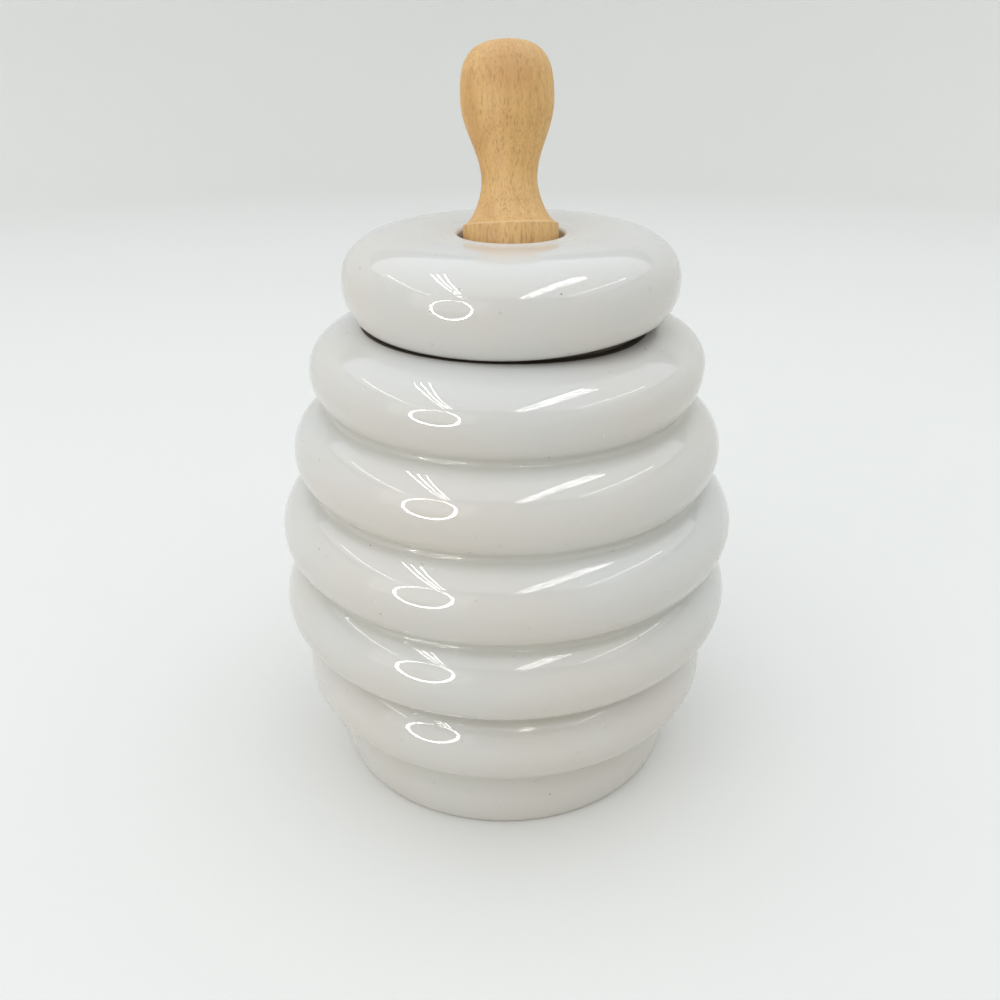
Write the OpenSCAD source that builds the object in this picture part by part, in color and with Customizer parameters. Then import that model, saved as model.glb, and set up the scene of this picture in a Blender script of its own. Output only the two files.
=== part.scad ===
// Honey pot in the shape of a beehive of stacked coils. A loose, ring-shaped lid
// rests on its rim, and a turned wooden dipper leans in it through the lid's hole.
// The pot's axis is the Z axis and its foot stands on z = 0. Sizes are millimetres.

/* [Pot] */
// Outer radius of the pot at its widest coil, the second from the bottom
pot_r = 50.3; // [42:0.1:60]
// How much smaller the radius of the lowest coil is than the widest
coil_1_setback = 3.8; // [0:0.1:6]
// How much smaller the radius of the middle coil is than the widest
coil_3_setback = 0.3; // [0:0.1:6]
// How much smaller the radius of the fourth coil is than the widest
coil_4_setback = 4.1; // [0:0.1:8]
// How much smaller the radius of the top coil is than the widest
coil_5_setback = 8.7; // [4:0.1:11]
// Height from the middle of one coil to the middle of the next
coil_step = 17.3; // [14.4:0.1:20.8]
// How much further the second coil is from the lowest one
low_step_extra = 1; // [0:0.1:1.5]
// Depth of the grooves between the coils, before the glaze rounds them
groove_depth = 6; // [4:0.1:7]
// Radius of the glaze in the bottom of the grooves
groove_round = 0.9; // [0.5:0.1:2]
// Thickness of the pot's wall and floor
wall = 4.5; // [3.5:0.1:5.4]

/* [Foot] */
// How much smaller the radius of the foot is than the widest coil
foot_setback = 10.5; // [8:0.1:12]
// Height of the middle of the lowest coil above the table
first_coil_z = 23.4; // [21:0.1:28]
// How far the foot draws in where it meets the table
foot_draw = 2.2; // [1:0.1:4]
// Height over which the foot draws in
foot_draw_h = 8; // [4:0.1:9]
// Width of the unglazed ring that stands on the table
foot_ring_w = 4.5; // [3:0.1:6]
// Depth of the hollow inside that ring
foot_hollow_h = 2; // [1:0.1:3]
// Radius of the inner corner between floor and wall
floor_round = 6; // [3:0.1:7]

/* [Rim] */
// Width of the top coil's shoulder, from its outer edge to its crest
shoulder_w = 12.2; // [10:0.1:14]
// Height of the shoulder above the middle of the top coil
shoulder_h = 9; // [8:0.1:11]
// Width of the rim, from its crest to the mouth
rim_w = 3.4; // [3:0.1:5]
// Radius of the rim's edges at the mouth
rim_round = 1.2; // [0.5:0.1:1.5]

/* [Lid] */
// How far the lid reaches past the crest of the rim
lid_overhang = 5.4; // [3:0.1:8]
// Width of the lid's lower curve
lid_low_w = 5; // [3:0.1:6]
// Height of the lid's lower curve
lid_low_h = 8.7; // [6:0.1:10]
// Width of the lid's upper curve
lid_top_w = 12.1; // [9:0.1:14]
// Height of the lid's upper curve
lid_top_h = 9.4; // [8:0.1:12]
// How far the lid's top sinks from its crest to the hole
lid_dip = 0.5; // [0:0.1:1.5]
// Thickness of the lid's shell
lid_wall = 5; // [4:0.1:6]
// Height of the gap between the lid's lower edge and the rim
lid_relief = 0.2; // [0:0.1:1.5]
// Clearance between the lid's seat and the rim
seat_gap = 0.1; // [0.05:0.05:0.5]
// Width of the seat, from the rim's inner edge outwards
seat_w = 1; // [0.5:0.1:2]
// How deep the lid's flange reaches into the mouth
flange_h = 5; // [3:0.1:7]
// Thickness of the flange
flange_w = 3.6; // [3:0.1:5]
// Clearance round the flange as the lid leaves the mouth
flange_gap = 0.3; // [0.2:0.1:1]
// How far the loose lid sits to one side in the mouth
lid_shift = 1.3; // [0:0.1:2]
// Radius of the edges of the lid's hole
hole_round = 0.8; // [0.4:0.1:1.5]

/* [Dipper] */
// Radius of the collar that stands in the lid's hole
collar_r = 9.7; // [8:0.1:12]
// Height of the collar, from its lower end to its upper crease
collar_h = 10; // [6:0.1:14]
// Width of the bevel on the collar's upper edge
collar_bevel_w = 1.5; // [0.5:0.1:2]
// Height of that bevel
collar_bevel_h = 0.9; // [0.3:0.1:2]
// How far the collar's upper crease stands above the hole
collar_rise = 1.5; // [0.5:0.1:4]
// Play between the leaning collar and the hole
hole_play = 0.3; // [0.3:0.05:1]
// Height of the flare from the collar up to the neck
flare_h = 8.4; // [5:0.1:10]
// Radius of the neck
neck_r = 5.6; // [4.5:0.1:7]
// Height from the neck to the widest part of the knob
knob_low_h = 15.3; // [10:0.1:20]
// Height from the widest part of the knob to its top
knob_top_h = 10.7; // [8:0.1:14]
// Radius of the knob
knob_r = 9.3; // [7:0.1:9.6]
// Radius of the stem
stem_r = 4; // [3:0.1:5]
// Radius of the grooved head
head_r = 9.6; // [7:0.1:9.7]
// Radius of the head at its two ends
head_end_r = 5.6; // [5:0.1:7]
// Length of the grooved head
head_h = 32; // [24:0.5:40]
// Number of grooves in the head
head_grooves = 6; // [4:1:8]
// Width of each groove in the head
head_groove_w = 2; // [1.5:0.1:2.5]
// Radius of the wood left inside the grooves
head_core_r = 4.6; // [4:0.1:5]
// Radius that breaks the sharp edges of the wood
wood_round = 0.5; // [0.2:0.1:0.8]
// How far the dipper's top leans to the left, in degrees
lean_side = 1.5; // [0:0.5:4]
// Clearance between the head and the wall that it leans towards
head_wall_gap = 0.3; // [0.2:0.1:3]
// Clearance between the head's lower end and the floor
head_floor_gap = 0.3; // [0.1:0.1:1]

/* [Hidden] */

// Segments in a full turn, in one coil and in one small round
turn_n = 128;
coil_n = 12;
round_n = 5;
// The same inside the pot, where the glaze hides the facets
inner_coil_n = 7;
inner_round_n = 3;

// Powers of the swelling curves: 2 is an ellipse, more is fuller, less is flatter
lid_low_p = 1.8;
lid_top_p = 2.2;
knob_top_p = 3.0;
flare_p = 1.4;
bevel_p = 1.4;

glaze_white = [0.93, 0.92, 0.90];
beech = [0.84, 0.67, 0.46];

// Coils, from the bottom up: the outer radius and middle height of each
coil_rs = [pot_r - coil_1_setback, pot_r, pot_r - coil_3_setback,
           pot_r - coil_4_setback, pot_r - coil_5_setback];
coil_zs = [for (i = [0:4]) first_coil_z + i * coil_step + (i > 0 ? low_step_extra : 0)];
coil_top = len(coil_rs) - 1;
// The coil's section is the arc through its outer edge and the two groove bottoms
section_r = (pow(coil_step / 2, 2) + pow(groove_depth, 2)) / (2 * groove_depth);

// Heights and radii that follow from the sizes above
foot_r = pot_r - foot_setback;
floor_z = foot_hollow_h + wall;
crest_r = coil_rs[coil_top] - shoulder_w;
mouth_r = crest_r - rim_w;
rim_z = coil_zs[coil_top] + shoulder_h;
seat_z = rim_z + seat_gap;
lid_r = crest_r + lid_overhang;
lid_low_z = seat_z + lid_relief;
lid_wide_z = lid_low_z + lid_low_h;
lid_top_z = lid_wide_z + lid_top_h;
lid_ceiling_z = lid_top_z - lid_wall;
hole_h = lid_wall - lid_dip;
hole_mid_z = lid_ceiling_z + hole_h / 2;

// The dipper's axis passes the middle of the hole and leans back until the head is
// head_wall_gap from the foot's inner wall, level with the groove above the foot
narrow_z = foot_groove_c().y;
head_drop = hole_mid_z - narrow_z;
head_side = lid_shift + head_drop * tan(lean_side);
head_reach = foot_r - wall - head_r - head_wall_gap;
head_back = sqrt(pow(head_reach, 2) - pow(head_side, 2));
lean_back = atan(head_back * cos(lean_side) / head_drop);
axis_z = cos(lean_back) * cos(lean_side);
tilt = acos(axis_z);

// The widest part of the leaning dipper comes out through the hole and the flange,
// and the flange leaves the mouth along the same line
widest_r = max(collar_r, knob_r, head_r);
hole_r = widest_r / cos(tilt) + hole_h / 2 * tan(tilt) + hole_play;
flange_low_z = seat_z - flange_h;
flange_way_r = widest_r / cos(tilt) + (hole_mid_z - flange_low_z) * tan(tilt) + hole_play;
flange_r = mouth_r - norm([lid_shift, flange_h * tan(lean_back)]) - flange_gap;
flange_in_r = max(flange_r - flange_w, flange_way_r);
seat_out_r = mouth_r + rim_round + seat_w;

// Heights along the dipper, from its lower end
end_z = floor_z + head_floor_gap + head_end_r * sin(tilt);
hole_mid_h = (hole_mid_z - end_z) / axis_z;
collar_top_h = hole_mid_h + hole_h / 2 / axis_z + collar_rise;
collar_low_h = collar_top_h - collar_h;
neck_h = collar_top_h + flare_h;
knob_h = neck_h + knob_low_h;
dipper_h = knob_h + knob_top_h;
disc_h = (head_h - head_grooves * head_groove_w) / (head_grooves + 1);

// Points of an arc round c from angle a0 to a1
function arc(c, r, a0, a1, n) =
    [for (i = [0:n]) let (a = a0 + (a1 - a0) * i / n) c + r * [cos(a), sin(a)]];

// Points of a quarter of a swelling curve, from its side to its top
function swell(c, a, b, p, n) =
    [for (i = [0:n]) let (t = 90 * i / n) c + [a * pow(cos(t), 2 / p), b * pow(sin(t), 2 / p)]];

function reversed(v) = [for (i = [len(v) - 1:-1:0]) v[i]];
function bearing(a, b) = atan2(b.y - a.y, b.x - a.x);

// Centre of coil i's section, and of the glaze that fills the groove above it
function coil_c(i) = [coil_rs[i] - section_r, coil_zs[i]];
function groove_c(i) =
    let (a = coil_c(i), b = coil_c(i + 1), d = norm(b - a),
         out = sqrt(pow(section_r + groove_round, 2) - pow(d / 2, 2)))
    (a + b) / 2 + out * [b.y - a.y, a.x - b.x] / d;
// The same where the lowest coil meets the straight side of the foot
function foot_groove_c() =
    let (c = coil_c(0), x = foot_r + groove_round)
    [x, c.y - sqrt(pow(section_r + groove_round, 2) - pow(x - c.x, 2))];

// Coil i, from the groove under it to the groove over it, a given depth inside the
// outer face. The top coil ends at its middle, where the shoulder begins.
function coil_points(i, inset, n) =
    let (low = i == 0 ? foot_groove_c() : groove_c(i - 1),
         a0 = bearing(coil_c(i), low),
         a1 = i == coil_top ? 0 : bearing(coil_c(i), groove_c(i)))
    arc(coil_c(i), section_r - inset, a0, a1, n);
function groove_points(i, inset, n) =
    let (c = groove_c(i))
    arc(c, groove_round + inset, 360 + bearing(c, coil_c(i)), bearing(c, coil_c(i + 1)), n);

// The side of the pot from the foot to the crest, a given depth inside the outer face,
// with n segments in each coil and m in each groove
function side_points(inset, n, m) = concat(
    arc(foot_groove_c(), groove_round + inset, 180, bearing(foot_groove_c(), coil_c(0)), m),
    [for (i = [0:coil_top]) each concat(
        coil_points(i, inset, n), i < coil_top ? groove_points(i, inset, m) : [])],
    swell([crest_r, coil_zs[coil_top]], shoulder_w - inset, shoulder_h - inset, 2, n));

function foot_points() =
    let (r = foot_r - foot_draw, inner = r - foot_ring_w)
    concat(
        [[0, foot_hollow_h], [inner - foot_hollow_h, foot_hollow_h], [inner, 0]],
        reversed(swell([r, foot_draw_h], foot_draw, -foot_draw_h, 2, coil_n)));

function mouth_points() =
    let (r = rim_round, ceiling = rim_z - wall)
    concat(
        arc([mouth_r + r, rim_z - r], r, 90, 180, round_n),
        arc([mouth_r + r, ceiling + r], r, 180, 270, round_n));

function floor_points() = concat(
    arc([foot_r - wall - floor_round, floor_z + floor_round], floor_round, 0, -90, inner_coil_n),
    [[0, floor_z]]);

module pot() {
    color(glaze_white)
    rotate_extrude($fn = turn_n)
    polygon(concat(foot_points(), side_points(0, coil_n, round_n), mouth_points(),
                   reversed(side_points(wall, inner_coil_n, inner_round_n)), floor_points()));
}

// The outside of the lid from its lower edge to the hole. Its top sinks along half a wave.
function lid_outer_points() =
    let (top_r = lid_r - lid_top_w, edge_r = hole_r + hole_round)
    concat(
        reversed(swell([lid_r - lid_low_w, lid_wide_z], lid_low_w, -lid_low_h, lid_low_p, coil_n)),
        swell([top_r, lid_wide_z], lid_top_w, lid_top_h, lid_top_p, coil_n),
        [for (i = [1:round_n]) let (t = i / (round_n + 1))
            [top_r + (edge_r - top_r) * t, lid_top_z - lid_dip * (1 - cos(180 * t)) / 2]],
        arc([edge_r, lid_top_z - lid_dip - hole_round], hole_round, 90, 180, round_n));

// The hollow underside from the hole to the flange
function lid_inner_points() =
    let (in_r = lid_r - lid_wall, e = (flange_r - flange_in_r) / 4)
    concat(
        arc([hole_r + hole_round, lid_ceiling_z + hole_round], hole_round, 180, 270, round_n),
        reversed(swell([lid_r - lid_top_w, lid_wide_z], lid_top_w - lid_wall,
                       lid_top_h - lid_wall, lid_top_p, coil_n)),
        swell([flange_in_r, lid_wide_z], in_r - flange_in_r, seat_z - lid_wide_z, 2, coil_n),
        arc([flange_in_r + e, flange_low_z + e], e, 180, 270, round_n),
        arc([flange_r - e, flange_low_z + e], e, 270, 360, round_n));

module lid() {
    color(glaze_white)
    translate([lid_shift, 0, 0])
    rotate_extrude($fn = turn_n)
    polygon(concat(lid_outer_points(), lid_inner_points(),
                   [[flange_r, seat_z], [seat_out_r, seat_z], [seat_out_r, lid_low_z]]));
}

// Radius of the head at height h: it swells as half an ellipse between its ends
function head_at(h) =
    let (u = 2 * h / head_h - 1) head_end_r + (head_r - head_end_r) * sqrt(max(0, 1 - u * u));

// The discs of the head, each with broken edges, and the grooves between them
function head_points() =
    [for (i = [0:head_grooves])
        let (low = i * (disc_h + head_groove_w), top = low + disc_h, e = wood_round)
        each [[head_core_r, low], [head_at(low) - e, low], [head_at(low), low + e],
              [head_at((low + top) / 2), (low + top) / 2],
              [head_at(top), top - e], [head_at(top) - e, top], [head_core_r, top]]];

// The collar ends in a swelling bevel, under the crease where the flare begins
function collar_points() = let (e = wood_round) concat(
    [[stem_r, collar_low_h]],
    arc([collar_r - e, collar_low_h + e], e, -90, 0, round_n),
    swell([collar_r - collar_bevel_w, collar_top_h - collar_bevel_h],
          collar_bevel_w, collar_bevel_h, bevel_p, round_n));

// The flare hollows out from the collar up to the neck
function flare_points() =
    let (w = collar_r - collar_bevel_w - neck_r)
    [for (i = [1:coil_n]) let (t = 90 * (1 - i / coil_n))
        [neck_r + w - w * pow(cos(t), 2 / flare_p), neck_h - flare_h * pow(sin(t), 2 / flare_p)]];

// The knob swells from the neck along half a wave and closes in a full, flat dome
function knob_points() = concat(
    [for (i = [1:coil_n]) let (t = i / coil_n)
        [neck_r + (knob_r - neck_r) * (1 - cos(180 * t)) / 2, neck_h + knob_low_h * t]],
    swell([0, knob_h], knob_r, knob_top_h, knob_top_p, 2 * coil_n));

module dipper() {
    color(beech)
    translate([lid_shift, 0, hole_mid_z])
    rotate([-lean_back, -lean_side, 0])
    translate([0, 0, -hole_mid_h])
    rotate_extrude($fn = turn_n)
    polygon(concat([[0, 0]], head_points(), [[stem_r, head_h]],
                   collar_points(), flare_points(), knob_points()));
}

pot();
lid();
dipper();
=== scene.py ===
"""Looks of a beehive honey pot: white glaze, a loose ring lid and a turned beech dipper.

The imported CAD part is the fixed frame. Each of its three pieces is stood for by a finer
surface turned from the same profile, which rides on the same body. Profiles are worked
out in millimetres and written to the meshes in metres.
"""

import logging
import math
from dataclasses import dataclass
from enum import Enum

import bpy
import numpy as np
from mathutils import Euler, Matrix, Vector


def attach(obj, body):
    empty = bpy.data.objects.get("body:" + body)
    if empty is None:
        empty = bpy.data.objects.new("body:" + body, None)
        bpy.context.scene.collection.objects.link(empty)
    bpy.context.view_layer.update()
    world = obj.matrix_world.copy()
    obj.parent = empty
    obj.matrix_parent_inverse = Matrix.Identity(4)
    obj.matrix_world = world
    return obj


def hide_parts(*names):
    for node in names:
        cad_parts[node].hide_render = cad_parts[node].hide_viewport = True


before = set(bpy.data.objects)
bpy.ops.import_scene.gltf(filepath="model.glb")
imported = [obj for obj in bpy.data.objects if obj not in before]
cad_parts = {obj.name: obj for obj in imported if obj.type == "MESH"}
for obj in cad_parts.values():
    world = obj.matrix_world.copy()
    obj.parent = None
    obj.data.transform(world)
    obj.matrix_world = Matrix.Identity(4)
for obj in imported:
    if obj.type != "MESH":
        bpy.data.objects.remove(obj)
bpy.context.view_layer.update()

log = logging.getLogger("honey_pot")

MM = 0.001
NO_TRIANGLES = np.empty((0, 3), int)
Colour = tuple[float, float, float]
Pair = tuple[float, float]
Row = tuple[str, float, float, float]
Sizes = tuple[float, ...]


class Body(Enum):
    """Bodies of the frame that pieces ride on."""

    POT = "pot"
    LID = "lid"
    DIPPER = "dipper"


class Slot(Enum):
    """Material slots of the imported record."""

    POT_GLAZE = "pot_glaze"
    LID_GLAZE = "lid_glaze"
    DIPPER_WOOD = "dipper_wood"


# Profiles: rows of (radius, height) in millimetres


def arc(centre: Sizes, radius: float, start: float, end: float, count: int) -> np.ndarray:
    """Points of a circle's arc: centre + radius (cos a, sin a), a even from start to end.

    Args:
        centre: radius and height of the circle's centre.
        radius: radius of the circle.
        start: first angle in degrees.
        end: last angle in degrees.
        count: number of points.

    Returns:
        Array of count rows.
    """
    a = np.radians(np.linspace(start, end, count))
    return np.column_stack((centre[0] + radius * np.cos(a), centre[1] + radius * np.sin(a)))


def swell(centre: Sizes, wide: float, high: float, power: float, count: int) -> np.ndarray:
    """Quarter of a swelling curve, from its side to its top.

    The point at t is centre + (wide cos(t)^(2/power), high sin(t)^(2/power)), with t even
    from 0 to 90 degrees. Power 2 is an ellipse, and more is fuller.

    Args:
        centre: radius and height of the curve's centre.
        wide: reach of the curve outwards, negative for inwards.
        high: reach of the curve upwards, negative for downwards.
        power: fullness of the curve.
        count: number of points.

    Returns:
        Array of count rows.
    """
    t = np.radians(np.linspace(0.0, 90.0, count))
    return np.column_stack(
        (
            centre[0] + wide * np.cos(t).clip(0) ** (2 / power),
            centre[1] + high * np.sin(t).clip(0) ** (2 / power),
        )
    )


def bearing(a: np.ndarray, b: np.ndarray) -> float:
    """Angle in degrees of the line from point a to point b."""
    return math.degrees(math.atan2(b[1] - a[1], b[0] - a[0]))


def nearness(profile: np.ndarray, marked: np.ndarray, reach: float) -> np.ndarray:
    """How near each profile point is to the marked ones, measured along the profile.

    The value is exp(-(d / reach)^2), where d is the length of profile to the nearest
    marked point.

    Args:
        profile: rows of (radius, height).
        marked: one True or False for each row.
        reach: length over which the value falls off.

    Returns:
        One value from 0 to 1 for each row.
    """
    steps = np.linalg.norm(np.diff(profile, axis=0), axis=1)
    along = np.concatenate(([0.0], np.cumsum(steps)))
    gap = np.abs(along[:, None] - along[marked][None, :]).min(axis=1)
    return np.exp(-((gap / reach) ** 2))


# Turned surfaces


def turn_angles(steps: int) -> np.ndarray:
    """Angles of the steps of a full turn in radians."""
    return np.arange(steps) * (2 * math.pi / steps)


def revolved(r: np.ndarray, z: np.ndarray, steps: int) -> np.ndarray:
    """Points (r cos a, r sin a, z) at every step a of a full turn.

    Args:
        r: radii, one row for each level, with one column or one for each step.
        z: heights, one row for each level.
        steps: points in a full turn.

    Returns:
        Rows of (x, y, z), level by level.
    """
    a = turn_angles(steps)
    return np.stack((r * np.cos(a), r * np.sin(a), z + 0 * a), axis=-1).reshape(-1, 3)


def bands(rings: int, steps: int, closed: bool = False) -> np.ndarray:
    """Quads between neighbouring rings of points.

    A quad joins ring i with ring i + 1 and step j with step j + 1. The steps run round.

    Args:
        rings: number of rings.
        steps: points in a ring.
        closed: True where the last ring joins the first.

    Returns:
        Rows of four vertex numbers.
    """
    j = np.arange(steps)
    nxt = (j + 1) % steps
    i = np.arange(rings if closed else rings - 1)[:, None]
    lo, hi = i * steps, (i + 1) % rings * steps
    return np.stack((lo + j, lo + nxt, hi + nxt, hi + j), axis=-1).reshape(-1, 4)


def fan(first: int, pole: int, steps: int) -> np.ndarray:
    """Triangles between a ring of points and a pole.

    Args:
        first: vertex number of the ring's first point.
        pole: vertex number of the pole.
        steps: points in the ring.

    Returns:
        Rows of three vertex numbers.
    """
    j = np.arange(steps)
    return np.column_stack((first + j, first + (j + 1) % steps, np.full(steps, pole)))


def make_piece(
    name: str, points: np.ndarray, quads: np.ndarray, triangles: np.ndarray = NO_TRIANGLES
) -> bpy.types.Object:
    """Makes a smooth mesh piece from points in metres.

    Args:
        name: name of the piece.
        points: rows of (x, y, z).
        quads: rows of four vertex numbers.
        triangles: rows of three vertex numbers.

    Returns:
        The object, at the origin and linked to the scene.
    """
    mesh = bpy.data.meshes.new(name)
    loops = np.concatenate((quads.ravel(), triangles.ravel()))
    sizes = np.concatenate((np.full(len(quads), 4), np.full(len(triangles), 3)))
    starts = np.concatenate(([0], np.cumsum(sizes)[:-1]))
    mesh.vertices.add(len(points))
    mesh.vertices.foreach_set("co", points.astype(np.float32).ravel())
    mesh.loops.add(len(loops))
    mesh.loops.foreach_set("vertex_index", loops.astype(np.int32))
    mesh.polygons.add(len(sizes))
    mesh.polygons.foreach_set("loop_start", starts.astype(np.int32))
    mesh.polygons.foreach_set("use_smooth", np.ones(len(sizes), bool))
    mesh.update(calc_edges=True)
    mesh.validate()
    piece = bpy.data.objects.new(name, mesh)
    bpy.context.scene.collection.objects.link(piece)
    return piece


def add_values(piece: bpy.types.Object, name: str, values: np.ndarray) -> None:
    """Stores one number or one vector for each vertex, for a finish to read.

    Args:
        piece: the piece.
        name: name of the attribute.
        values: one number, or one row of three, for each vertex.
    """
    kind, field = ("FLOAT", "value") if values.ndim == 1 else ("FLOAT_VECTOR", "vector")
    layer = piece.data.attributes.new(name, kind, "POINT")
    layer.data.foreach_set(field, values.astype(np.float32).ravel())


@dataclass(frozen=True)
class Wobble:
    """Slow unevenness of a cast or turned surface, always towards its axis.

    Attributes:
        depth: most that a point moves inwards, in millimetres.
        waves: counts of waves in a turn.
        pitch: height of one wave along the axis, in millimetres.
    """

    depth: float
    waves: tuple[int, ...] = (2, 3, 5)
    pitch: float = 41.0

    def inward(self, angle: np.ndarray, height: np.ndarray) -> np.ndarray:
        """Inward shift at each angle and height.

        It is depth / 2 times 1 + the mean of sin(n a + h 2 pi / pitch + n^2) over the
        counts n, so it runs from 0 to depth.

        Args:
            angle: angles round the axis in radians.
            height: heights along the axis in millimetres.

        Returns:
            Shifts in millimetres, in the arrays' common shape.
        """
        climb = height * (2 * math.pi / self.pitch)
        total = sum(np.sin(n * angle + climb + n * n) for n in self.waves)
        return self.depth / 2 * (1 + total / len(self.waves))


@dataclass(frozen=True)
class Turned:
    """A profile turned round the Z axis, with its unevenness.

    Attributes:
        profile: rows of (radius, height), material on the left of the line.
        steps: points in a full turn.
        ring: True where the profile closes on itself, False where it runs from the
            axis to the axis.
        wobble: unevenness of the surface.
        free: for each row, 1 where the wobble acts and 0 where a fit must stay exact.
    """

    profile: np.ndarray
    steps: int
    ring: bool
    wobble: Wobble
    free: np.ndarray

    def points(self) -> np.ndarray:
        """Vertices in millimetres.

        Each row of the profile, drawn in by the wobble, is turned round the axis. A
        profile that ends on the axis gives one pole at each end.

        Returns:
            Rows of (x, y, z), ring by ring, and then the poles.
        """
        rows = self.profile if self.ring else self.profile[1:-1]
        free = self.free if self.ring else self.free[1:-1]
        r, z = rows[:, :1], rows[:, 1:]
        r = r - self.wobble.inward(turn_angles(self.steps)[None, :], z) * free[:, None]
        grid = revolved(r, z, self.steps)
        if self.ring:
            return grid
        ends = [(0.0, 0.0, self.profile[0, 1]), (0.0, 0.0, self.profile[-1, 1])]
        return np.vstack((grid, ends))

    def faces(self) -> tuple[np.ndarray, np.ndarray]:
        """Faces, outwards: bands between the rings, and a fan at each pole.

        Returns:
            Array of quads and array of triangles, as vertex numbers.
        """
        count = len(self.profile) - (0 if self.ring else 2)
        quads = bands(count, self.steps, self.ring)
        if self.ring:
            return quads, NO_TRIANGLES
        pole = count * self.steps
        start = fan(0, pole, self.steps)[:, ::-1]
        return quads, np.vstack((start, fan(pole - self.steps, pole + 1, self.steps)))

    def spread(self, values: np.ndarray) -> np.ndarray:
        """One value for each vertex from one value for each profile row.

        Args:
            values: one value for each row of the profile.

        Returns:
            One value for each vertex, in the order of points().
        """
        if self.ring:
            return np.repeat(values, self.steps)
        return np.concatenate((np.repeat(values[1:-1], self.steps), values[[0, -1]]))

    def piece(
        self, name: str, points: np.ndarray, values: dict[str, np.ndarray]
    ) -> bpy.types.Object:
        """Makes the surface a piece.

        Args:
            name: name of the piece.
            points: points(), bent or moved into place, in millimetres.
            values: values for the finish by name, one for each row of the profile.

        Returns:
            The object.
        """
        piece = make_piece(name, points * MM, *self.faces())
        for key, rows in values.items():
            add_values(piece, key, self.spread(rows))
        return piece


# Finishes


@dataclass(frozen=True)
class Cloud:
    """A soft cloudy pattern of noise.

    Attributes:
        scale: waves in a metre.
        detail: number of finer waves in it.
        rough: strength of the finer waves.
        low: noise that counts as 0.
        high: noise that counts as 1.
    """

    scale: float
    detail: float
    rough: float
    low: float
    high: float


@dataclass(frozen=True)
class Spots:
    """Small soft spots: a ball lies in each cell, and shows where the surface cuts it.

    Attributes:
        cells: cells in a metre along each axis. Few along one axis draw the spots out.
        radius: radius of a spot in cells.
        edge: how many times wider than a spot its soft edge reaches.
        strength: most that a spot turns the tone, from 0 to 1.
        shift: shift of the cells along each axis.
    """

    cells: Sizes
    radius: float
    edge: float
    strength: float = 1.0
    shift: Sizes = (0.0, 0.0, 0.0)


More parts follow.
